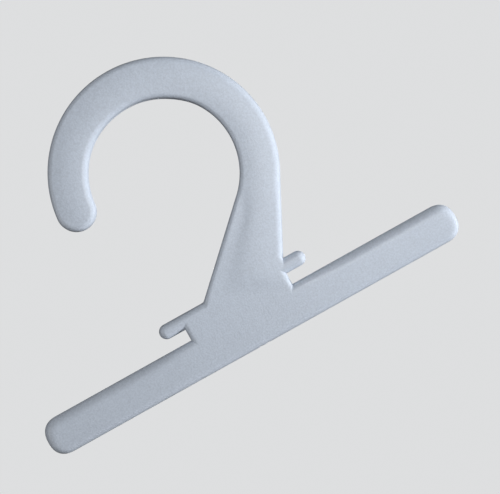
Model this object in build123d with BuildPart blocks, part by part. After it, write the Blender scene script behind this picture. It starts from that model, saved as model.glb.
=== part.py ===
from build123d import *
from math import cos, radians, sin
import os

# Scarf hanger: a hook for a rail, a neck that widens downwards, a crossbar for the scarf and two side pegs.
# The hanger is one moulding. It is drawn in its five natural zones, which meet face to face.
# X runs along the crossbar, Z runs up through the hook and Y through the thickness, with the front at -Y.
# The origin is the centre of the hook's inner circle, at mid-thickness. Lengths are in millimetres.

os.makedirs("parts", exist_ok=True)

# The flat plate that the crossbar, the body and the pegs are part of
plate_thickness = 5.0
plate_edge_radius = 2.1

# Hook: its face swells by the crown between its two rounded edges
hook_inner_radius = 24.25
hook_width = 13.0
hook_crown = 0.6
hook_edge_radius = 2.4
hook_tip_angle = 175.0

# Neck: its straight edges leave the hook's two circles as tangents, at these angles to the crossbar.
# Its height is measured from the hook's end down to the pegs' top.
neck_left_angle = 43.7
neck_right_angle = 62.9
neck_height = 24.82

# Crossbar
crossbar_length = 150.0
crossbar_height = 12.7

# Body between the neck and the crossbar, and the pegs that stand out of its sides above a slot.
# At the pegs' top, the neck's right edge stands out beyond the body's side by the overhang.
neck_overhang = 1.57
slot_height = 3.9
peg_height = 4.9
peg_reach = 8.05

half_plate = plate_thickness / 2
hook_outer_radius = hook_inner_radius + hook_width
hook_middle_radius = hook_inner_radius + hook_width / 2
rail_axis = Axis((0, 0, 0), (0, -1, 0))

# The hook ends where its inner circle runs out into the neck's left edge
root_angle = neck_left_angle - 90
root_level = hook_inner_radius * sin(radians(root_angle))

# Levels below the hook, and how far the crossbar's middle line hangs below the rail's axis
peg_top = root_level - neck_height
peg_bottom = peg_top - peg_height
crossbar_top = peg_bottom - slot_height
crossbar_drop = crossbar_height / 2 - crossbar_top


def direction(angle):
    """Unit vector in the plane of the hanger, at this angle above the crossbar's direction."""
    return Vector(cos(radians(angle)), 0, sin(radians(angle)))


def radial_plane(angle):
    """Plane of a section across the hook: x runs outwards from the rail's axis, y through the thickness."""
    return Plane(origin=(0, 0, 0), x_dir=direction(angle), z_dir=direction(angle + 90))


def section_across(plane, left, right, crown, corner_radius, outer_half=False):
    """Section between two edges: as thick as the plate at the edges, swelling by the crown between them."""
    middle = (left + right) / 2
    with BuildSketch(plane) as section:
        with BuildLine():
            for side in (-1, 1):
                start = (left, side * half_plate)
                end = (right, side * half_plate)
                if crown:
                    ThreePointArc(start, (middle, side * (half_plate + crown)), end)
                else:
                    Line(start, end)
            for edge in (left, right):
                Line((edge, -half_plate), (edge, half_plate))
        make_face()
        fillet(section.vertices(), radius=corner_radius)
        if outer_half:
            with Locations((middle, 0)):
                Rectangle(
                    hook_width,
                    2 * plate_thickness,
                    align=(Align.MAX, Align.CENTER),
                    mode=Mode.SUBTRACT,
                )
    return section.sketch


def hook_section(angle, outer_half=False):
    """Section of the hook on the radial plane at this angle, whole or from its middle outwards."""
    return section_across(
        radial_plane(angle), hook_inner_radius, hook_outer_radius, hook_crown, hook_edge_radius, outer_half
    )


def neck_left(level):
    """Where the neck's left edge, a tangent to the hook's inner circle, crosses a level."""
    angle = radians(neck_left_angle)
    return (hook_inner_radius + level * cos(angle)) / sin(angle)


def neck_right(level):
    """Where the neck's right edge, a tangent to the hook's outer circle, crosses a level."""
    angle = radians(neck_right_angle)
    return (hook_outer_radius + level * cos(angle)) / sin(angle)


# Hook: the crowned section is turned about the rail's axis, and its tip is a full-round end
with BuildPart() as hook:
    revolve(hook_section(root_angle), axis=rail_axis, revolution_arc=hook_tip_angle - root_angle)
    tip_axis = Axis(direction(hook_tip_angle) * hook_middle_radius, rail_axis.direction)
    revolve(hook_section(hook_tip_angle, outer_half=True), axis=tip_axis, revolution_arc=180)
    split(bisect_by=Plane.XY.offset(root_level), keep=Keep.TOP)

# The body is centred on the hook, and its right side follows the neck's right edge
half_body = neck_right(peg_top) - neck_overhang

# Flat plate: the crossbar, the body above it and the rib whose two ends are the pegs
with BuildPart() as plate:
    with BuildSketch(Plane.XZ):
        with Locations((0, -crossbar_drop)):
            SlotOverall(crossbar_length, crossbar_height)
            Rectangle(
                2 * half_body,
                crossbar_height / 2 + slot_height + peg_height / 2,
                align=(Align.CENTER, Align.MIN),
            )
        with Locations((0, peg_bottom + peg_height / 2)):
            SlotOverall(2 * (half_body + peg_reach), peg_height)
    extrude(amount=half_plate, both=True)
    fillet(plate.faces().filter_by(Axis.Y).edges(), radius=plate_edge_radius)

# Crossbar: the plate up to the level where the body stands on it
with BuildPart() as crossbar:
    add(plate.part)
    split(bisect_by=Plane.XY.offset(crossbar_top), keep=Keep.BOTTOM)

# Neck: the plate's body between the pegs, and the crowned neck, which sinks into it
with BuildPart() as neck:
    add(plate.part)
    split(bisect_by=Plane.XY.offset(crossbar_top), keep=Keep.TOP)
    split(bisect_by=Plane.YZ.offset(half_body), keep=Keep.BOTTOM)
    split(bisect_by=Plane.YZ.offset(-half_body), keep=Keep.TOP)
    root = section_across(
        Plane.XY.offset(root_level),
        neck_left(root_level),
        neck_right(root_level),
        hook_crown,
        hook_edge_radius,
    )
    knee = section_across(
        Plane.XY.offset(peg_top),
        neck_left(peg_top),
        neck_right(peg_top),
        hook_crown,
        plate_edge_radius,
    )
    foot = section_across(
        Plane.XY.offset(crossbar_top),
        plate_edge_radius - half_body,
        half_body - plate_edge_radius,
        0,
        plate_edge_radius,
    )
    loft([foot, knee, root], ruled=True)

# Left peg: the rib's end beyond the body
with BuildPart() as left_peg:
    add(plate.part)
    split(bisect_by=Plane.XY.offset(crossbar_top), keep=Keep.TOP)
    split(bisect_by=Plane.YZ.offset(-half_body), keep=Keep.BOTTOM)

# Right peg: the neck's right edge reaches a little way over its root
with BuildPart() as right_peg:
    add(plate.part)
    split(bisect_by=Plane.XY.offset(crossbar_top), keep=Keep.TOP)
    split(bisect_by=Plane.YZ.offset(half_body), keep=Keep.TOP)
    add(neck.part, mode=Mode.SUBTRACT)

hook.part.label = "hook"
neck.part.label = "neck"
crossbar.part.label = "crossbar"
left_peg.part.label = "left_peg"
right_peg.part.label = "right_peg"

export_step(hook.part, "parts/hook.step")
export_step(neck.part, "parts/neck.step")
export_step(crossbar.part, "parts/crossbar.step")
export_step(left_peg.part, "parts/left_peg.step")
export_step(right_peg.part, "parts/right_peg.step")
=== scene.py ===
import math
from types import SimpleNamespace

import bmesh
import bpy
import numpy as np
from bpy.props import FloatProperty, FloatVectorProperty, PointerProperty
from bpy.types import Operator, Panel, PropertyGroup
from mathutils import Matrix, Vector


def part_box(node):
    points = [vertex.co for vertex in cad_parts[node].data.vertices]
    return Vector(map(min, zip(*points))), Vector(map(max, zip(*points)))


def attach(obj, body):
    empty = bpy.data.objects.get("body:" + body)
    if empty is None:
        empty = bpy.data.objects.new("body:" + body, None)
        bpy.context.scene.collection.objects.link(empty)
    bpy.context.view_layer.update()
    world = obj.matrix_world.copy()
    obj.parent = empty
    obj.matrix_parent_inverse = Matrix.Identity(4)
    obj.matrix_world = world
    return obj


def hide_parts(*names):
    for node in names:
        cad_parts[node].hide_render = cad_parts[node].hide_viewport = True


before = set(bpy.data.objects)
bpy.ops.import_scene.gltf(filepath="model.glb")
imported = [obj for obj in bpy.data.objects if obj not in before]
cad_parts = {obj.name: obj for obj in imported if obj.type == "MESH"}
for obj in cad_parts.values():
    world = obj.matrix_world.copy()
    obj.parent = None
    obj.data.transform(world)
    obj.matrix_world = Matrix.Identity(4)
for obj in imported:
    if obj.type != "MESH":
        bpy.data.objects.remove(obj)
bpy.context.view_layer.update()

bl_info = {
    "name": "Scarf hanger",
    "version": (1, 0, 0),
    "blender": (4, 5, 0),
    "location": "View3D > Sidebar > Hanger",
    "description": "Makes the moulded skin, the satin finish and the studio of a small scarf hanger",
    "category": "Add Mesh",
}

# Lengths are in metres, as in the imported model, and most are written as millimetres times this
MM = 0.001

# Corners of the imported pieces
BAR_LOW, BAR_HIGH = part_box("crossbar")
PEG_LOW, PEG_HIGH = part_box("left_peg")
HOOK_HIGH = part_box("hook")[1]
NECK_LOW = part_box("neck")[0]

# How finely the surfaces are divided: across an edge's rounding, across and down the neck, across and along
# the pegs and the crossbar, along the hook's arm, and round the tips
ROUND_STEPS = 8
FACE_STEPS = 42
RIM_STEPS = 2
NECK_STEPS = 60
CORNER_STEPS = 10
SHOULDER_STEPS = 12
BODY_STEPS = 15
PEG_FACE_STEPS = 6
PEG_STEPS = 28
PEG_TIP_STEPS = 24
BAR_FACE_STEPS = 12
BAR_STEPS = 60
GATE_STEPS = 40
ARM_STEPS = 230
TIP_STEPS = 48

# Points nearer than this are merged, and edges sharper than this angle aren't smoothed
WELD = 1e-6
SHARP = math.radians(35.0)

# The parting line's ridge reaches this many times its height to each side
RIDGE_REACH = 2.0

# Stands for zero where a value divides another
TINY = 1e-9

# Share of its width within which a face's slope starts where it starts with a crease
CREASE = 1e-6


def linear(colour):
    """sRGB hex to linear shares: a straight toe for the darkest tones and a power of 2.4 above it."""
    shares = np.array([int(colour[i:i + 2], 16) for i in (0, 2, 4)]) / 255.0
    return tuple(np.where(shares <= 0.04045, shares / 12.92, ((shares + 0.055) / 1.055) ** 2.4).tolist())


# Sizes, finish and studio that a user would change

class HangerSizes(PropertyGroup):
    """Sizes of the moulding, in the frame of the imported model."""

    hook_outer_radius: FloatProperty(
        name="Hook radius", description="Outer radius of the hook",
        default=HOOK_HIGH.z, unit="LENGTH")
    arm_width: FloatProperty(
        name="Arm width", description="Width of the hook's arm", default=13.0 * MM, unit="LENGTH")
    tip_angle: FloatProperty(
        name="Tip angle", description="Where the arm ends and its round tip begins",
        default=math.radians(174.6), subtype="ANGLE")
    neck_left_angle: FloatProperty(
        name="Neck left angle", description="Slope of the neck's left edge above the crossbar",
        default=math.radians(43.7), subtype="ANGLE")
    neck_right_angle: FloatProperty(
        name="Neck right angle", description="Slope of the neck's right edge above the crossbar",
        default=math.radians(62.9), subtype="ANGLE")
    inner_corner_radius: FloatProperty(
        name="Inner corner", description="Radius in the corner between the left shoulder and the neck",
        default=1.6 * MM, unit="LENGTH")
    plate_thickness: FloatProperty(
        name="Plate thickness", description="Thickness of the crossbar, the body and the pegs",
        default=BAR_HIGH.y - BAR_LOW.y, unit="LENGTH")
    crown: FloatProperty(
        name="Crown", description="How far the face of the arm and the neck swells over the plate",
        default=0.33 * MM, unit="LENGTH")
    thickening: FloatProperty(
        name="Thickening", description="How much wider the arm is over the hook's top, on its inner side",
        default=0.38 * MM, unit="LENGTH")
    ridge_distance: FloatProperty(
        name="Ridge distance", description="Distance of the neck's ridge from its right edge",
        default=9.75 * MM, unit="LENGTH")
    rim_width: FloatProperty(
        name="Rim width", description="Width of the flat rim along the neck's left edge",
        default=2.8 * MM, unit="LENGTH")
    inner_edge_radius: FloatProperty(
        name="Inner edge radius",
        description="Rounding of the inner edge of the neck and of the arm's right half",
        default=1.25 * MM, unit="LENGTH")
    outer_edge_radius: FloatProperty(
        name="Outer edge radius",
        description="Rounding of the outer edge of the neck and of the arm's right half",
        default=2.3 * MM, unit="LENGTH")
    tip_edge_radius: FloatProperty(
        name="Tip edge radius", description="Rounding of both edges of the arm's left half and of its tip",
        default=1.75 * MM, unit="LENGTH")
    plate_edge_radius: FloatProperty(
        name="Plate edge radius", description="Rounding of the plate's edges",
        default=2.1 * MM, unit="LENGTH")
    side_edge_radius: FloatProperty(
        name="Side edge radius", description="Rounding of the body's upright sides below the pegs",
        default=1.5 * MM, unit="LENGTH")
    draft: FloatProperty(
        name="Draft", description="How far a side wall leans in between the parting line and its rounding",
        default=0.04 * MM, unit="LENGTH")
    bead: FloatProperty(
        name="Parting line", description="Height of the fine ridge that the mould's parting leaves",
        default=0.05 * MM, unit="LENGTH")
    upper_edge_radius: FloatProperty(
        name="Upper edge radius", description="Wide rounding of the crossbar's upper edge towards its ends",
        default=3.6 * MM, unit="LENGTH")
    end_fullness: FloatProperty(
        name="End fullness", description="2 is a round end for the crossbar, and more fills its corners",
        default=2.4, min=2.0)


class HangerFinish(PropertyGroup):
    """Colour and grain of the moulded plastic."""

    plastic: FloatVectorProperty(
        name="Plastic", description="Colour of the plastic",
        default=linear("CAD3E0"), subtype="COLOR", size=3, min=0.0, max=1.0)
    roughness: FloatProperty(
        name="Roughness", description="Roughness of the satin face", default=0.38, min=0.0, max=1.0,
        subtype="FACTOR")
    grain: FloatProperty(
        name="Grain width",
        description="Width of a grain of the mould's texture, coarser than the real one",
        default=0.6 * MM, unit="LENGTH")


class HangerStudio(PropertyGroup):
    """Camera, floor and light."""

    roll: FloatProperty(
        name="Roll", description="How far the crossbar rises to the right in the picture",
        default=math.radians(29.197), subtype="ANGLE")
    lift: FloatProperty(
        name="Lift", description="How far the camera looks down on the plate",
        default=math.radians(1.05), subtype="ANGLE")
    swing: FloatProperty(
        name="Swing", description="How far the camera stands to the right of the plate's middle",
        default=math.radians(0.33), subtype="ANGLE")
    distance: FloatProperty(
        name="Camera distance", description="From the camera to the middle of the plate",
        default=290.0 * MM, unit="LENGTH")
    picture_width: FloatProperty(
        name="Picture width", description="Width that the picture takes in at the middle of the plate",
        default=160.71 * MM, unit="LENGTH")
    aim: FloatVectorProperty(
        name="Aim", description="Point of the plate in the middle of the picture",
        default=(12.522 * MM, 0.0, -34.107 * MM), subtype="TRANSLATION", unit="LENGTH", size=3)
    floor_drop: FloatProperty(
        name="Floor drop", description="How far the floor lies below the crossbar",
        default=600.0 * MM, unit="LENGTH")
    pale: FloatVectorProperty(
        name="Floor colour", description="Colour of the floor and the backdrop",
        default=linear("E6E7E8"), subtype="COLOR", size=3, min=0.0, max=1.0)
    floor_glow: FloatProperty(
        name="Floor glow", description="How brightly the floor and the backdrop are lit from behind",
        default=0.92, min=0.0)
    air: FloatProperty(
        name="Air", description="Brightness of the even light from all sides", default=0.03, min=0.0)
    light: FloatProperty(
        name="Light", description="Share of each lamp's own power", default=1.0, min=0.0)


# Plan of the hanger: where its edges run, worked out from the sizes. Plan points are (x, z).

def unit(angle):
    """Unit vectors in the plan: cosine along the crossbar and sine up."""
    return np.stack([np.cos(angle), np.sin(angle)], axis=-1)


def eased(value):
    """Smooth step from 0 to 1: 3 t squared less 2 t cubed, with t held between 0 and 1."""
    t = np.clip(value, 0.0, 1.0)
    return t * t * (3.0 - 2.0 * t)


def blend(low, high, share):
    """Straight mix of two values."""
    return low + (high - low) * share


def lay_out(sizes):
    """Derived places of the plan: circles, tangents, levels and the depths of the roundings."""
    form = SimpleNamespace(sizes=sizes)
    form.half = sizes.plate_thickness / 2
    form.outer = sizes.hook_outer_radius
    form.inner = form.outer - sizes.arm_width
    form.half_arm = sizes.arm_width / 2
    form.tip_centre = (form.inner + form.half_arm) * unit(sizes.tip_angle)
    form.left_turn = sizes.neck_left_angle - math.pi / 2
    form.right_turn = sizes.neck_right_angle - math.pi / 2
    form.left_normal, form.right_normal = unit(form.left_turn), unit(form.right_turn)
    form.left_root, form.right_root = form.inner * form.left_normal, form.outer * form.right_normal
    form.shoulder, form.peg_bottom = PEG_HIGH.z, PEG_LOW.z
    form.bar_top, form.bar_bottom = BAR_HIGH.z, BAR_LOW.z
    form.side = -NECK_LOW.x
    form.peg_reach = -PEG_LOW.x
    form.bar_reach = BAR_HIGH.x
    form.depth = sizes.bead + sizes.draft + sizes.plate_edge_radius
    form.side_depth = sizes.bead + sizes.draft + sizes.side_edge_radius
    return form


def inner_radius(form, angle):
    """Radius of the hook's inner edge at an angle: less by the thickening over the top, eased in and out."""
    rise_start, rise_run = math.radians(32.0), math.radians(28.0)
    fall_end, fall_run = math.radians(140.0), math.radians(45.0)
    rise = eased((angle - rise_start) / rise_run)
    fall = eased((fall_end - angle) / fall_run)
    return form.inner - form.sizes.thickening * rise * fall


def arm_distances(form, plan):
    """Distances inwards from the inner or left edge and from the outer or right edge.

    On the arm they are measured along the radius, and past the tangent points square to the straight edges.
    Below the right peg the right edge is the body's upright side, measured at the neck's slant.
    """
    x, z = plan[..., 0], plan[..., 1]
    radius = np.hypot(x, z)
    angle = np.arctan2(z, x)
    lower = (x > 0) | (z < form.left_root[1])
    left = np.where(
        lower & (angle < form.left_turn),
        plan @ form.left_normal - form.inner,
        radius - inner_radius(form, angle))
    right = form.outer - np.where(lower & (angle < form.right_turn), plan @ form.right_normal, radius)
    upright = (form.side - x) * math.cos(form.right_turn)
    return left, np.where(z < form.shoulder, np.maximum(right, upright), right)


def ridged(share, foot=CREASE):
    """Rise of a face from its border (0) to its ridge (1): a straight slope that rounds over to level.

    The slope grows evenly from zero up to the share called foot, is even up to the share called start, and
    then falls evenly to zero. So the rise is a parabola, a straight line and a parabola.
    """
    start = 0.45
    slope = 2.0 / (1.0 + start - foot)
    low = np.minimum(share, foot)
    over = np.maximum(share - start, 0.0)
    return slope * (share - low + low * low / (2.0 * foot) - over * over / (2.0 * (1.0 - start)))


def swell(form, plan):
    """How far the face stands over the flat plate.

    Crown, times the rise from the left border, times the rise from the right border, times the fade.
    The arm's ridge is its middle. As the neck widens, the ridge keeps its distance from the right edge and
    a flat rim opens along the left edge, from which the face rises ever more softly. Each of these changes
    takes place while the neck gains the extra width called its run. The fade dies away towards a slanting
    line across the body.
    """
    sizes = form.sizes
    ridge_run, rim_run, foot_run = 8.0 * MM, 4.0 * MM, 3.0 * MM
    softest_foot = 0.4
    fade_start = np.array([-3.4 * MM, form.bar_top + 7.15 * MM])
    fade_turn, fade_run = math.radians(68.3), 6.5 * MM
    left, right = arm_distances(form, plan)
    extra = np.where(plan[..., 1] < 0.0, left + right - sizes.arm_width, 0.0)
    to_ridge = blend(form.half_arm, sizes.ridge_distance, eased(extra / ridge_run))
    rim = sizes.rim_width * eased(extra / rim_run)
    from_left = np.clip((left - rim) / (left + right - rim - to_ridge), 0.0, 1.0)
    from_right = np.clip(right / to_ridge, 0.0, 1.0)
    past_tip = (plan @ unit(sizes.tip_angle + math.pi / 2) > 0) & (plan[..., 0] < 0)
    past_tip &= plan[..., 1] > form.left_root[1]
    from_centre = np.linalg.norm(plan - form.tip_centre, axis=-1)
    at_tip = np.clip((form.half_arm - from_centre) / form.half_arm, 0.0, 1.0)
    from_left = np.where(past_tip, at_tip, from_left)
    from_right = np.where(past_tip, 1.0, from_right)
    fade = eased(((plan - fade_start) @ unit(fade_turn)) / fade_run)
    foot = np.maximum(softest_foot * eased(extra / foot_run), CREASE)
    return sizes.crown * ridged(from_left, foot) * ridged(from_right) * fade


def superellipse(ray, fullness):
    """Distance of the outline from its centre along unit rays, as a share of the radius.

    The powers of the outline's two coordinates, as shares of the radius, add up to 1. 2 gives a circle.
    """
    total = np.sum(np.abs(ray) ** fullness, axis=-1)
    return np.maximum(total, TINY) ** (-1.0 / fullness)


def bar_drops(form, plan, drop):
    """Drop of the crossbar's edges, which widen towards the upper side and the ends.

    The wide edge is a circle's arc from just past the parting line's ridge to the face. The drop is a mix
    of the plate's own rounding and of this arc. The arc's share grows from nothing beside the body to its
    full size on the way to the end. It is full at the upper edge and nothing at the lower one.
    """
    sizes = form.sizes
    past_ridge, growth_run = 2.4 * sizes.bead, 20.0 * MM
    half = (form.bar_top - form.bar_bottom) / 2
    x = np.abs(plan[..., 0])
    past_centre = np.maximum(x - (form.bar_reach - half), 0.0)
    ray = np.stack([past_centre, plan[..., 1] - form.bar_bottom - half], axis=-1)
    off = np.maximum(np.linalg.norm(ray, axis=-1), TINY)
    ray = ray / off[..., None]
    depth = np.maximum(half * superellipse(ray, sizes.end_fullness) - off - sizes.bead, 0.0)
    radius, foot = sizes.upper_edge_radius, form.half - past_ridge
    reach = math.sqrt(radius ** 2 - (radius - foot) ** 2)
    arc = radius - np.sqrt(radius ** 2 - np.maximum(reach - depth, 0.0) ** 2)
    share = eased((x - form.side) / growth_run) * (0.5 + 0.5 * ray[..., 1])
    return np.where(drop >= form.half, drop, blend(drop, arc, share))


# Surfaces: grids of points on the front half. Every skin is closed with the mirror image of its grids.

def rounding(form, radius):
    """A rounded edge from the parting line inwards: how deep and how far below the face its points lie.

    The parting line is a fine ridge at mid-thickness, as high as the bead. From its foot the wall leans in
    by the draft up to the rounding, which is a quarter circle: at an angle t above the wall, the depth grows
    by the radius times (1 - cos t) and the drop is the radius times (1 - sin t).
    """
    radius = np.asarray(radius, float)[..., None]
    turn = np.linspace(0.0, math.pi / 2, ROUND_STEPS + 1)
    bead = form.sizes.bead
    depth = bead + form.sizes.draft + radius * (1.0 - np.cos(turn))
    drop = radius * (1.0 - np.sin(turn))
    first = np.ones_like(depth[..., :1])
    depth = np.concatenate([0.0 * first, bead * first, depth], axis=-1)
    drop = np.concatenate([form.half * first, (form.half - RIDGE_REACH * bead) * first, drop], axis=-1)
    return depth, drop


def edge_strip(points, inward, depth):
    """Profile carried along an edge: each edge point moved inwards by each depth.

    The points have one inward direction and one set of depths in common, or one each.
    """
    return points[:, None, :] + inward[:, None, :] * depth[..., None]


def between(left, right, shares):
    """Straight rows from the points of one line to those of another, at these shares of the way.

    There is one set of shares for all the rows, or one for each of them.
    """
    return left[:, None, :] + (right - left)[:, None, :] * shares[..., None]


def front(form, plan, drop):
    """Front half of the skin over plan points: plate, less the rounding's drop, plus the swell.

    A point whose drop is half the plate's thickness lies on the parting line. One drop may stand for a
    whole row, column or grid.
    """
    on_parting = drop >= form.half
    height = np.where(on_parting, 0.0, form.half - drop + swell(form, plan))
    return np.stack([plan[..., 0], -height, plan[..., 1]], axis=-1)


def full_round(centre, radius, start, turn, depth, drop, face_steps, steps, fullness=2.0):
    """Rounded end: the section's outer half turned about its middle.

    One parameter is the angle round the centre, the other runs along the section from the edge to the
    centre. The outline is a superellipse of this fullness. Depth and drop may change with the angle.
    """
    angle = np.linspace(start, start + turn, steps + 1)
    ray = unit(angle)
    outline = radius * superellipse(ray, fullness)
    shares = 1.0 - np.arange(1, face_steps + 1) / face_steps
    edge = outline[:, None] - depth
    reach = np.concatenate([edge, edge[:, -1:] * shares], axis=1)
    plan = centre + ray[:, None, :] * reach[..., None]
    drop = np.broadcast_to(drop, edge.shape)
    return plan, np.concatenate([drop, np.zeros((steps + 1, face_steps))], axis=1)


def put(name, data):
    """Object of this name at the origin, in the scene."""
    thing = bpy.data.objects.new(name, data)
    bpy.context.collection.objects.link(thing)
    return thing


def joined(name, sheets):
    """Mesh with four-sided faces between the grids' points, and its working copy with doubles merged."""
    points, faces, first = [], [], 0
    for sheet in sheets:
        rows, columns = sheet.shape[:2]
        index = first + np.arange(rows * columns).reshape(rows, columns)
        faces.append(np.stack(
            [index[:-1, :-1], index[1:, :-1], index[1:, 1:], index[:-1, 1:]], axis=-1).reshape(-1, 4))
        points.append(sheet.reshape(-1, 3))
        first += rows * columns
    mesh = bpy.data.meshes.new(name)
    mesh.from_pydata(np.concatenate(points), [], np.concatenate(faces).tolist())
    work = bmesh.new()
    work.from_mesh(mesh)
    bmesh.ops.remove_doubles(work, verts=work.verts, dist=WELD)
    return mesh, work


def closed_skin(name, grids, seams):
    """Piece from front grids, their mirror images and the inner walls along the seams.

    A seam's wall is a ribbon between the seam's line on the front and the same line on the back.
    """
    flip = np.array([1.0, -1.0, 1.0])
    sheets = [sheet for grid in grids for sheet in (grid, grid * flip)]
    sheets += [np.stack([line, line * flip], axis=1) for line in seams]
    mesh, work = joined(name, sheets)
    bmesh.ops.recalc_face_normals(work, faces=work.faces)
    open_edges = sum(not edge.is_manifold for edge in work.edges)
    work.to_mesh(mesh)
    work.free()
    if open_edges:
        raise RuntimeError(f"{name} isn't closed: {open_edges} edges don't have two faces")
    mesh.shade_smooth()
    mesh.set_sharp_from_angle(angle=SHARP)
    return put(name, mesh)


# Lines that two pieces share, so that their skins meet point for point

def plate_profile(form):
    """Depth and drop of the plate's rounded edge."""
    return rounding(form, form.sizes.plate_edge_radius)


def side_profile(form):
    """Depths of the rounded edge of the body's sides, at the drops of the plate's own rounding.

    Down to its radius the drop lies on the side's quarter circle, and below that on its wall.
    """
    sizes = form.sizes
    _, drop = plate_profile(form)
    radius = sizes.side_edge_radius
    rise = np.clip(1.0 - drop / radius, 0.0, 1.0)
    circle = form.side_depth - radius * np.sqrt(1.0 - rise ** 2)
    wall = np.interp(
        drop,
        [radius, form.half - RIDGE_REACH * sizes.bead, form.half],
        [form.side_depth - radius, sizes.bead, 0.0])
    return np.where(drop < radius, circle, wall)


def face_shares(form, left, right, uniform):
    """Shares of the way across the face: a few steps to the rim's border, then even steps.

    uniform mixes this with even steps on each side of the arm's middle, which a full-round end needs.
    """
    least_rim = 0.15 * MM
    even = np.arange(FACE_STEPS + 1) / FACE_STEPS
    start, _ = arm_distances(form, left)
    end, _ = arm_distances(form, right)
    border = np.maximum(form.sizes.rim_width, start + least_rim)
    share = ((border - start) / (end - start))[:, None]
    rim = share * np.minimum(even * FACE_STEPS / RIM_STEPS, 1.0)
    rest = (1.0 - share) * np.maximum(even * FACE_STEPS - RIM_STEPS, 0.0) / (FACE_STEPS - RIM_STEPS)
    middle = ((form.half_arm - start) / (end - start))[:, None]
    halves = middle * np.minimum(2.0 * even, 1.0) + (1.0 - middle) * np.maximum(2.0 * even - 1.0, 0.0)
    return blend(rim + rest, halves, np.asarray(uniform)[:, None])


def arm_grid(form, left, left_in, left_radius, right, right_in, right_radius, uniform):
    """Skin across the arm or the neck, for each pair of edge points: left rounding, face, right rounding."""
    depth, left_drop = rounding(form, left_radius)
    left_strip = edge_strip(left, left_in, depth)
    depth, right_drop = rounding(form, right_radius)
    right_strip = edge_strip(right, right_in, depth)
    shares = face_shares(form, left_strip[:, -1], right_strip[:, -1], uniform)
    face = between(left_strip[:, -1], right_strip[:, -1], shares)[:, 1:-1]
    plan = np.concatenate([left_strip, face, right_strip[:, ::-1]], axis=1)
    drops = np.concatenate([left_drop, np.zeros(face.shape[:2]), right_drop[:, ::-1]], axis=1)
    return front(form, plan, drops)


def neck_rows(form):
    """Edge points, inward directions and rounding radii of the neck, from the hook's end to the shoulder.

    The left edge is a tangent to the hook's inner circle and ends in the inner corner's arc. Its rounding
    turns into the plate's over the last rows. The right edge is a tangent to the outer circle, and its
    rounding turns into the plate's sooner. Its last inward direction is that of the line that parts the
    neck from the right peg, which leans from the upright by half the angle of the neck's edge.
    """
    sizes = form.sizes
    last_rows, sooner = CORNER_STEPS + 5, 1.6
    corner = sizes.inner_corner_radius
    along = unit(sizes.neck_left_angle)
    foot_drop = form.left_root[1] - form.shoulder
    sharp = form.left_root - along * (foot_drop / along[1])
    setback = corner * math.tan(sizes.neck_left_angle / 2)
    bend_start = sharp + along * setback
    centre = bend_start - form.left_normal * corner
    share = np.linspace(0.0, 1.0, NECK_STEPS + 1)[:, None]
    turn = np.linspace(form.left_turn, -math.pi / 2, CORNER_STEPS + 1)[1:]
    left = np.concatenate([blend(form.left_root, bend_start, share), centre + corner * unit(turn)])
    left_in = np.concatenate([np.repeat(form.left_normal[None], NECK_STEPS + 1, axis=0), unit(turn)])
    slope = unit(sizes.neck_right_angle)
    foot = form.right_root - slope * ((form.right_root[1] - form.shoulder) / slope[1])
    count = NECK_STEPS + CORNER_STEPS + 1
    right = blend(form.right_root, foot, np.linspace(0.0, 1.0, count)[:, None])
    right_in = np.repeat(-form.right_normal[None], count, axis=0)
    right_in[-1] = (-math.tan(sizes.neck_right_angle / 2), -1.0)
    left_share = eased((np.arange(count) - count + 1 + last_rows) / last_rows)
    left_radius = blend(sizes.inner_edge_radius, sizes.plate_edge_radius, left_share)
    right_share = eased(np.linspace(0.0, sooner, count))
    right_radius = blend(sizes.outer_edge_radius, sizes.plate_edge_radius, right_share)
    return left, left_in, left_radius, right, right_in, right_radius


def peg_mitre(form, side):
    """Plan points of the mitre between a peg's lower rounding and the body's side."""
    depth, _ = plate_profile(form)
    return np.stack([side * (form.side - side_profile(form)), form.peg_bottom + depth], axis=-1)


def bar_mitre(form, side):
    """Plan points of the mitre between the crossbar's upper rounding and the body's side."""
    depth, _ = plate_profile(form)
    return np.stack([side * (form.side - side_profile(form)), form.bar_top - depth], axis=-1)


def peg_seam(form, top_line, side):
    """Plan line and drops across the root of a peg, from its top edge to its bottom edge.

    It starts with the given points of the top rounding, runs down the face, and ends in the mitre between
    the peg's lower rounding and the rounding of the body's side.
    """
    _, drop = plate_profile(form)
    bottom = peg_mitre(form, side)
    shares = np.arange(1, PEG_FACE_STEPS)[:, None] / PEG_FACE_STEPS
    face = blend(top_line[-1], bottom[-1], shares)
    plan = np.concatenate([top_line, face, bottom[::-1]])
    return plan, np.concatenate([drop, np.zeros(PEG_FACE_STEPS - 1), drop[::-1]])


def left_peg_top(form):
    """The left peg's upper rounding is parted from the shoulder's on an upright line."""
    depth, _ = plate_profile(form)
    return np.stack([np.full_like(depth, form.depth - form.side), form.shoulder - depth], axis=-1)


def right_peg_top(form):
    """The right peg's upper rounding is parted from the neck's on the line that ends the neck's rows."""
    depth, _ = plate_profile(form)
    _, _, _, right, right_in, _ = neck_rows(form)
    return right[-1] + right_in[-1] * depth[:, None]


def body_top(form):
    """Plan points along the body's upper line: the shoulder's face line and the neck's last row."""
    depth, _ = plate_profile(form)
    left, left_in, _, right, right_in, _ = neck_rows(form)
    start = left[-1:] + left_in[-1:] * depth[-1]
    end = right[-1:] + right_in[-1:] * depth[-1]
    row = between(start, end, face_shares(form, start, end, np.zeros(1)))[0]
    shoulder = np.linspace(form.depth - form.side, start[0, 0], SHOULDER_STEPS + 1)[:-1]
    shoulder = np.stack([shoulder, np.full_like(shoulder, start[0, 1])], axis=-1)
    return np.concatenate([shoulder, row])


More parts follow.
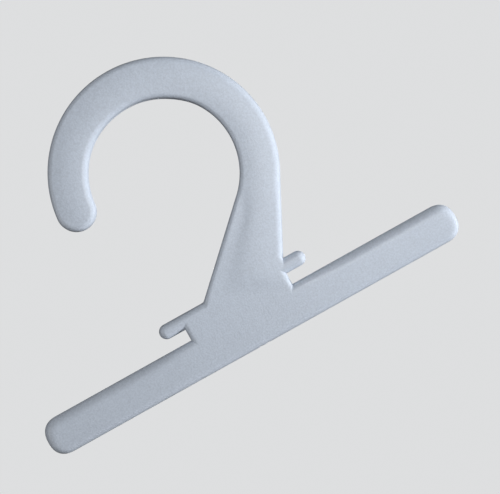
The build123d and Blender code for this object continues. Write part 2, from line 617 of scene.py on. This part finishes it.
def body_foot(form):
    """Plan points along the body's lower line, where it stands on the crossbar's face."""
    top = body_top(form)[:, 0]
    share = (top - top[0]) / (top[-1] - top[0])
    x = blend(form.side_depth - form.side, form.side - form.side_depth, share)
    return np.stack([x, np.full_like(x, form.bar_top - form.depth)], axis=-1)


def bar_seam(form, foot):
    """Front line between the body and the crossbar: mitre, these points of the body's foot and mitre."""
    _, drop = plate_profile(form)
    plan = np.concatenate([bar_mitre(form, -1), foot[1:-1], bar_mitre(form, 1)[::-1]])
    return front(form, plan, np.concatenate([drop, np.zeros(len(foot) - 2), drop[::-1]]))


# Pieces

def hook_skin(form):
    """Hook: the arm's section carried round the rail's axis, with a full-round tip.

    One parameter is the angle along the arm. The other runs across it. Near the neck, the outer end of each
    section lags behind the inner one, so that the last section joins the two tangent points. The tip's
    roundings turn into the neck's over the hook's top. These places are shares of the way along the arm.
    """
    sizes = form.sizes
    lag_start, top_start, top_run, tip_run = 0.6, 0.22, 0.36, 0.15
    share = np.linspace(0.0, 1.0, ARM_STEPS + 1)
    inner_angle = blend(sizes.tip_angle, form.left_turn, share)
    lag = np.maximum(share - lag_start, 0.0) / (1.0 - lag_start)
    outer_angle = inner_angle + (form.right_turn - form.left_turn) * lag * lag
    over_top = eased((share - top_start) / top_run)
    grid = arm_grid(
        form, inner_radius(form, inner_angle)[:, None] * unit(inner_angle), unit(inner_angle),
        blend(sizes.tip_edge_radius, sizes.inner_edge_radius, over_top),
        form.outer * unit(outer_angle), -unit(outer_angle),
        blend(sizes.tip_edge_radius, sizes.outer_edge_radius, over_top), 1.0 - eased(share / tip_run))
    depth, drop = rounding(form, sizes.tip_edge_radius)
    plan, drops = full_round(
        form.tip_centre, form.half_arm, sizes.tip_angle, math.pi, depth, drop, FACE_STEPS // 2, TIP_STEPS)
    return closed_skin("hook_skin", [grid, front(form, plan, drops)], [grid[-1]])


def neck_skin(form):
    """Neck and body: the section carried down the neck, the shoulder, the body's sides and its face.

    Each grid's parameters are the way along its edge or level and the way across it.
    """
    depth, drop = plate_profile(form)
    left, left_in, left_radius, right, right_in, right_radius = neck_rows(form)
    neck = arm_grid(form, left, left_in, left_radius, right, right_in, right_radius, np.zeros(len(left)))
    top, foot = body_top(form), body_foot(form)
    shoulder_x = top[:SHOULDER_STEPS + 1, 0]
    edge = np.stack([shoulder_x, np.full_like(shoulder_x, form.shoulder)], axis=-1)
    shoulder = edge_strip(edge, np.array([[0.0, -1.0]]), depth)
    peg_level = form.peg_bottom + form.depth
    at_pegs = np.stack([foot[:, 0], np.full(len(foot), peg_level)], axis=-1)
    upper = between(top, at_pegs, np.arange(PEG_FACE_STEPS + 1) / PEG_FACE_STEPS)
    levels = np.arange(BODY_STEPS + 1) / BODY_STEPS
    lower = between(at_pegs, foot, levels)
    grids = [neck, front(form, shoulder, drop), front(form, upper, 0.0), front(form, lower, 0.0)]
    for side in (-1, 1):
        wall = between(peg_mitre(form, side), bar_mitre(form, side), levels)
        grids.append(front(form, wall, drop[:, None]))
    left_seam = front(form, *peg_seam(form, left_peg_top(form), -1))
    right_seam = front(form, *peg_seam(form, right_peg_top(form), 1))
    return closed_skin("neck_skin", grids, [neck[0], left_seam, right_seam, bar_seam(form, foot)])


def peg_skin(form, name, top_line, side):
    """Peg: its section carried from the seam at the body to the tip's centre, and a full-round tip."""
    depth, drop = plate_profile(form)
    radius = (form.shoulder - form.peg_bottom) / 2
    centre = np.array([side * (form.peg_reach - radius), form.peg_bottom + radius])
    seam, drops = peg_seam(form, top_line, side)
    tip_row = np.stack([np.full(len(seam), centre[0]), seam[:, 1]], axis=-1)
    body = front(form, between(seam, tip_row, np.linspace(0.0, 1.0, PEG_STEPS + 1)), drops[:, None])
    plan, tip_drops = full_round(
        centre, radius, math.pi / 2, -side * math.pi, depth, drop, PEG_FACE_STEPS // 2, PEG_TIP_STEPS)
    return closed_skin(name, [body, front(form, plan, tip_drops)], [front(form, seam, drops)])


def gate_mark(x, depth_shares):
    """Scar of the sheared gate on the lower edge: two small dents beside a flush land.

    The depth of a dent is a bell curve of the distance from its middle, and dies away across the rounding.
    """
    middle, offset, spread, deep = 1.5 * MM, 1.35 * MM, 0.45 * MM, 0.22 * MM
    bell = np.exp(-((np.abs(x - middle) - offset) / spread) ** 2)
    return deep * bell[:, None] * (1.0 - depth_shares) ** 2


def crossbar_skin(form):
    """Crossbar: its section carried from each full-round end to the body, and on below the body.

    One parameter is the place along the bar, the other runs over the section from the upper to the lower
    edge. The grid is finer across the gate's mark.
    """
    gate_start, gate_end = -1.31 * MM, 4.37 * MM
    depth, drop = plate_profile(form)
    radius = (form.bar_top - form.bar_bottom) / 2
    level = form.bar_bottom + radius
    shares = np.arange(1, BAR_FACE_STEPS) / BAR_FACE_STEPS
    face_z = blend(form.bar_top - form.depth, form.bar_bottom + form.depth, shares)
    z = np.concatenate([form.bar_top - depth, face_z, (form.bar_bottom + depth)[::-1]])
    drops = np.concatenate([drop, np.zeros(len(face_z)), drop[::-1]])
    grids = []
    for side in (-1, 1):
        centre = np.array([side * (form.bar_reach - radius), level])
        seam_x = np.full(len(z), side * (form.side - form.side_depth))
        seam_x[:len(depth)] = bar_mitre(form, side)[:, 0]
        seam = np.stack([seam_x, z], axis=-1)
        end = np.stack([np.full(len(z), centre[0]), z], axis=-1)
        rows = between(seam, end, np.linspace(0.0, 1.0, BAR_STEPS + 1))
        grids.append(front(form, rows, bar_drops(form, rows, drops[:, None])))
        plan, end_drops = full_round(
            centre, radius, math.pi / 2, -side * math.pi, depth, drop, BAR_FACE_STEPS // 2, TIP_STEPS,
            form.sizes.end_fullness)
        grids.append(front(form, plan, bar_drops(form, plan, end_drops)))
    x = np.union1d(body_foot(form)[:, 0], np.linspace(gate_start, gate_end, GATE_STEPS + 1))
    below = np.concatenate([[form.bar_top - form.depth], face_z, (form.bar_bottom + depth)[::-1]])
    under_drops = np.concatenate([np.zeros(len(face_z) + 1), drop[::-1]])
    rows = np.stack(np.broadcast_arrays(x[:, None], below[None, :]), axis=-1).copy()
    across = np.arange(len(depth))[::-1] / (len(depth) - 1)
    rows[:, -len(depth):, 1] += gate_mark(x, across)
    grids.append(front(form, rows, under_drops))
    foot = np.stack([x, np.full_like(x, form.bar_top - form.depth)], axis=-1)
    return closed_skin("crossbar_skin", grids, [bar_seam(form, foot)])


# Finish

def add_node(tree, kind, links=None, **settings):
    """Adds a node, sets its properties, and feeds its inputs with values or with other nodes' outputs."""
    node = tree.nodes.new(kind)
    for key, value in settings.items():
        setattr(node, key, value)
    for key, value in (links or {}).items():
        socket = node.inputs[key] if isinstance(key, int) else next(
            item for item in node.inputs if item.name == key and item.enabled)
        if isinstance(value, bpy.types.NodeSocket):
            tree.links.new(value, socket)
        else:
            socket.default_value = value
    return node


def empty_material(name):
    """New material and its node tree, with nothing in it yet."""
    material = bpy.data.materials.new(name)
    material.use_nodes = True
    material.node_tree.nodes.clear()
    return material, material.node_tree


def satin_polypropylene(finish):
    """Injection-moulded polypropylene from a spark-eroded mould.

    The eye gets an even satin face with a fine grain, a broad soft highlight, a faint cloudiness where the
    melt flowed, in small patches within wide ones, and hardly any colour but a cool pale grey. The colour
    is also painted a little darker where the grain is low, as painted shade in the pits of the texture.
    """
    patch, wide_patch = 2.4 * MM, 26.0 * MM
    grain_height, patch_height = 0.045 * MM, 0.02 * MM
    material, tree = empty_material("satin_moulded_polypropylene")
    place = add_node(tree, "ShaderNodeTexCoord").outputs["Object"]
    # The real grain is about 0.1 mm wide. That is too fine for the picture, so it is drawn coarser here.
    grain = add_node(tree, "ShaderNodeTexNoise", {
        "Vector": place, "Scale": 1.0 / finish.grain, "Detail": 2.0, "Roughness": 0.6})
    mottle = add_node(tree, "ShaderNodeTexNoise", {
        "Vector": place, "Scale": 1.0 / patch, "Detail": 3.0, "Roughness": 0.55})
    flow = add_node(tree, "ShaderNodeTexNoise", {
        "Vector": place, "Scale": 1.0 / wide_patch, "Detail": 2.0, "Roughness": 0.5, "Distortion": 0.6})
    cloud = add_node(tree, "ShaderNodeMath", {
        0: mottle.outputs["Fac"], 1: flow.outputs["Fac"]}, operation="ADD")
    light = add_node(tree, "ShaderNodeMapRange", {
        "Value": cloud.outputs[0], "From Min": 0.6, "From Max": 1.4, "To Min": 0.965, "To Max": 1.03})
    # Painted shade: the colour is darker where the grain is low, standing in for the shade in the texture's
    # pits
    painted_pit_shade = add_node(tree, "ShaderNodeMapRange", {
        "Value": grain.outputs["Fac"], "From Min": 0.3, "From Max": 0.7, "To Min": 0.93, "To Max": 1.07})
    # The plastic's random cloudy tone, times the painted shade of the grain's pits
    cloud_tone_and_pit_shade = add_node(tree, "ShaderNodeMath", {
        0: light.outputs[0], 1: painted_pit_shade.outputs[0]}, operation="MULTIPLY")
    base = add_node(tree, "ShaderNodeMix", {
        "Factor": 1.0, "A": (*finish.plastic, 1.0), "B": cloud_tone_and_pit_shade.outputs[0]},
        data_type="RGBA", blend_type="MULTIPLY")
    rough = add_node(tree, "ShaderNodeMapRange", {
        "Value": mottle.outputs["Fac"], "From Min": 0.3, "From Max": 0.7,
        "To Min": finish.roughness - 0.03, "To Max": finish.roughness + 0.04})
    fine = add_node(tree, "ShaderNodeBump", {
        "Height": grain.outputs["Fac"], "Strength": 0.8, "Distance": grain_height})
    waves = add_node(tree, "ShaderNodeBump", {
        "Height": mottle.outputs["Fac"], "Strength": 0.5, "Distance": patch_height,
        "Normal": fine.outputs[0]})
    shader = add_node(tree, "ShaderNodeBsdfPrincipled", {
        "Base Color": next(item for item in base.outputs if item.enabled), "Roughness": rough.outputs[0],
        "IOR": 1.49, "Normal": waves.outputs[0]})
    add_node(tree, "ShaderNodeOutputMaterial", {"Surface": shader.outputs[0]})
    return material


def light_table_film(studio):
    """Matt film over an even light, as on a photographer's light table.

    The eye gets a pale, even ground with no shine and no texture, on which the lamps leave no bright pools.
    """
    material, tree = empty_material("backlit_matt_film")
    shader = add_node(tree, "ShaderNodeBsdfPrincipled", {
        "Base Color": (0.0, 0.0, 0.0, 1.0), "Roughness": 0.95, "Specular IOR Level": 0.0,
        "Emission Color": (*studio.pale, 1.0), "Emission Strength": studio.floor_glow})
    add_node(tree, "ShaderNodeOutputMaterial", {"Surface": shader.outputs[0]})
    return material


def moulding_material():
    """The hanger's one material, made once."""
    found = bpy.data.materials.get("satin_moulded_polypropylene")
    return found or satin_polypropylene(bpy.context.scene.hanger_finish)


def dress(piece, *nodes):
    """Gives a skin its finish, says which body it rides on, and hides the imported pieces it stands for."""
    piece.data.materials.append(moulding_material())
    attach(piece, "root")
    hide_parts(*nodes)


# Studio

def picture_axes(studio):
    """The picture's right and up directions in the hanger's frame, from the roll."""
    cosine, sine = math.cos(studio.roll), math.sin(studio.roll)
    return Vector((cosine, 0.0, -sine)), Vector((sine, 0.0, cosine))


def studio_bowl(studio):
    """Floor that curves up into a wall all round: a profile turned about the upright axis.

    One parameter is the angle, the other runs out along the floor, up a quarter circle and up the wall.
    """
    floor, flat, bend, wall = BAR_LOW.z - studio.floor_drop, 0.9, 0.7, 2.2
    bend_steps, round_steps = 24, 96
    turn = np.linspace(0.0, math.pi / 2, bend_steps + 1)
    reach = np.concatenate([[0.0, flat / 2], flat + bend * np.sin(turn), [flat + bend]])
    level = np.concatenate([[floor, floor], floor + bend * (1.0 - np.cos(turn)), [floor + wall]])
    ray = unit(np.linspace(2 * math.pi, 0.0, round_steps + 1))[:, None, :] * reach[:, None]
    sheet = np.concatenate([ray, np.broadcast_to(level[:, None], (*ray.shape[:2], 1))], axis=-1)
    mesh, work = joined("studio_floor", [sheet])
    work.to_mesh(mesh)
    work.free()
    mesh.shade_smooth()
    mesh.materials.append(light_table_film(studio))
    bowl = put("studio_floor", mesh)
    bowl.visible_diffuse = False
    bowl.visible_glossy = False
    bowl.visible_shadow = False


# Soft boxes: name, colour, direction from the hanger as seen in the picture (right, up, to the camera),
# distance, width and height in metres, power in watts, and whether the plastic mirrors them. The mirror
# images of the side strip and the back box would be hard white lines on the edges, seen from the other side.
LAMPS = (
    ("key_box", "FDFEFF", (0.328, 0.266, 0.906), 0.36, 0.26, 0.26, 0.31, True),
    ("arm_box", "FDFEFF", (0.09, 0.19, 0.976), 0.36, 0.10, 0.12, 0.28, True),
    ("side_strip", "FDFEFF", (0.975, 0.07, 0.21), 0.70, 0.10, 0.40, 5.80, False),
    ("left_box", "FFFDFA", (-0.84, -0.20, 0.50), 0.50, 0.12, 0.30, 0.45, True),
    ("upper_box", "FFFFFF", (0.62, 0.62, 0.48), 0.45, 0.20, 0.20, 0.16, True),
    ("back_box", "FFFFFF", (-0.10, 0.16, -0.98), 0.60, 0.30, 0.30, 3.30, False),
)


def soft_light(name, colour, place, aim, width, height, power, mirrored):
    """Soft box at a place, turned to its aim and unseen by the camera."""
    lamp = bpy.data.lights.new(name, "AREA")
    lamp.color = linear(colour)
    lamp.shape = "RECTANGLE"
    lamp.size, lamp.size_y = width, height
    lamp.energy = power
    box = put(name, lamp)
    box.location = place
    box.rotation_mode = "QUATERNION"
    box.rotation_quaternion = (aim - place).to_track_quat("-Z", "Y")
    box.visible_camera = False
    box.visible_glossy = mirrored


def studio_lights(studio):
    """All the soft boxes, and an even light from all sides."""
    right, up = picture_axes(studio)
    front_way = Vector((0.0, -1.0, 0.0))
    aim = Vector(studio.aim)
    for name, colour, (to_right, to_up, to_front), distance, width, height, power, mirrored in LAMPS:
        way = (right * to_right + up * to_up + front_way * to_front).normalized()
        place = aim + way * distance
        soft_light(name, colour, place, aim, width, height, power * studio.light, mirrored)
    world = bpy.data.worlds.new("studio_air")
    world.use_nodes = True
    air = world.node_tree.nodes["Background"]
    air.inputs["Color"].default_value = (1.0, 1.0, 1.0, 1.0)
    air.inputs["Strength"].default_value = studio.air
    bpy.context.scene.world = world


def studio_camera(studio):
    """Camera in front of the plate, swung a little to the right, lifted a little and rolled."""
    lens = bpy.data.cameras.new("camera")
    lens.sensor_width = 36.0
    lens.lens = lens.sensor_width * studio.distance / studio.picture_width
    lens.clip_start = 10.0 * MM
    right, _ = picture_axes(studio)
    back = Vector((math.sin(studio.swing), -1.0, math.sin(studio.lift))).normalized()
    across = (right - back * right.dot(back)).normalized()
    axes = Matrix((across, back.cross(across), back)).transposed()
    camera = put("camera", lens)
    camera.matrix_world = Matrix.Translation(Vector(studio.aim) + back * studio.distance) @ axes.to_4x4()
    bpy.context.scene.camera = camera


# Steps that a user can run one by one

class HANGER_OT_hook(Operator):
    """Make the hook"""

    bl_idname = "hanger.hook"
    bl_label = "Hook"

    def execute(self, context):
        dress(hook_skin(lay_out(context.scene.hanger_sizes)), "hook")
        return {"FINISHED"}


class HANGER_OT_neck(Operator):
    """Make the neck and the body below it"""

    bl_idname = "hanger.neck"
    bl_label = "Neck"

    def execute(self, context):
        dress(neck_skin(lay_out(context.scene.hanger_sizes)), "neck")
        return {"FINISHED"}


class HANGER_OT_crossbar(Operator):
    """Make the crossbar"""

    bl_idname = "hanger.crossbar"
    bl_label = "Crossbar"

    def execute(self, context):
        dress(crossbar_skin(lay_out(context.scene.hanger_sizes)), "crossbar")
        return {"FINISHED"}


class HANGER_OT_pegs(Operator):
    """Make the two pegs"""

    bl_idname = "hanger.pegs"
    bl_label = "Pegs"

    def execute(self, context):
        form = lay_out(context.scene.hanger_sizes)
        dress(peg_skin(form, "left_peg_skin", left_peg_top(form), -1), "left_peg")
        dress(peg_skin(form, "right_peg_skin", right_peg_top(form), 1), "right_peg")
        return {"FINISHED"}


class HANGER_OT_stage(Operator):
    """Make the floor, the lights and the camera"""

    bl_idname = "hanger.stage"
    bl_label = "Stage"

    def execute(self, context):
        studio = context.scene.hanger_studio
        studio_bowl(studio)
        studio_lights(studio)
        studio_camera(studio)
        context.scene.view_settings.view_transform = "Standard"
        return {"FINISHED"}


class HANGER_PT_panel(Panel):
    """Sizes, finish and studio of the hanger, and the steps that make it"""

    bl_label = "Scarf hanger"
    bl_idname = "HANGER_PT_panel"
    bl_space_type = "VIEW_3D"
    bl_region_type = "UI"
    bl_category = "Hanger"

    def draw(self, context):
        layout = self.layout
        scene = context.scene
        for group in (scene.hanger_sizes, scene.hanger_finish, scene.hanger_studio):
            box = layout.box()
            for key in group.__annotations__:
                box.prop(group, key)
        for step in STEPS:
            layout.operator(step.bl_idname)


STEPS = (HANGER_OT_hook, HANGER_OT_neck, HANGER_OT_crossbar, HANGER_OT_pegs, HANGER_OT_stage)
CLASSES = (HangerSizes, HangerFinish, HangerStudio, *STEPS, HANGER_PT_panel)


def register():
    for item in CLASSES:
        bpy.utils.register_class(item)
    bpy.types.Scene.hanger_sizes = PointerProperty(type=HangerSizes)
    bpy.types.Scene.hanger_finish = PointerProperty(type=HangerFinish)
    bpy.types.Scene.hanger_studio = PointerProperty(type=HangerStudio)


def unregister():
    del bpy.types.Scene.hanger_studio
    del bpy.types.Scene.hanger_finish
    del bpy.types.Scene.hanger_sizes
    for item in reversed(CLASSES):
        bpy.utils.unregister_class(item)


def main():
    """Makes every piece and the stage."""
    register()
    bpy.ops.hanger.hook()
    bpy.ops.hanger.neck()
    bpy.ops.hanger.crossbar()
    bpy.ops.hanger.pegs()
    bpy.ops.hanger.stage()


if __name__ == "__main__":
    main()
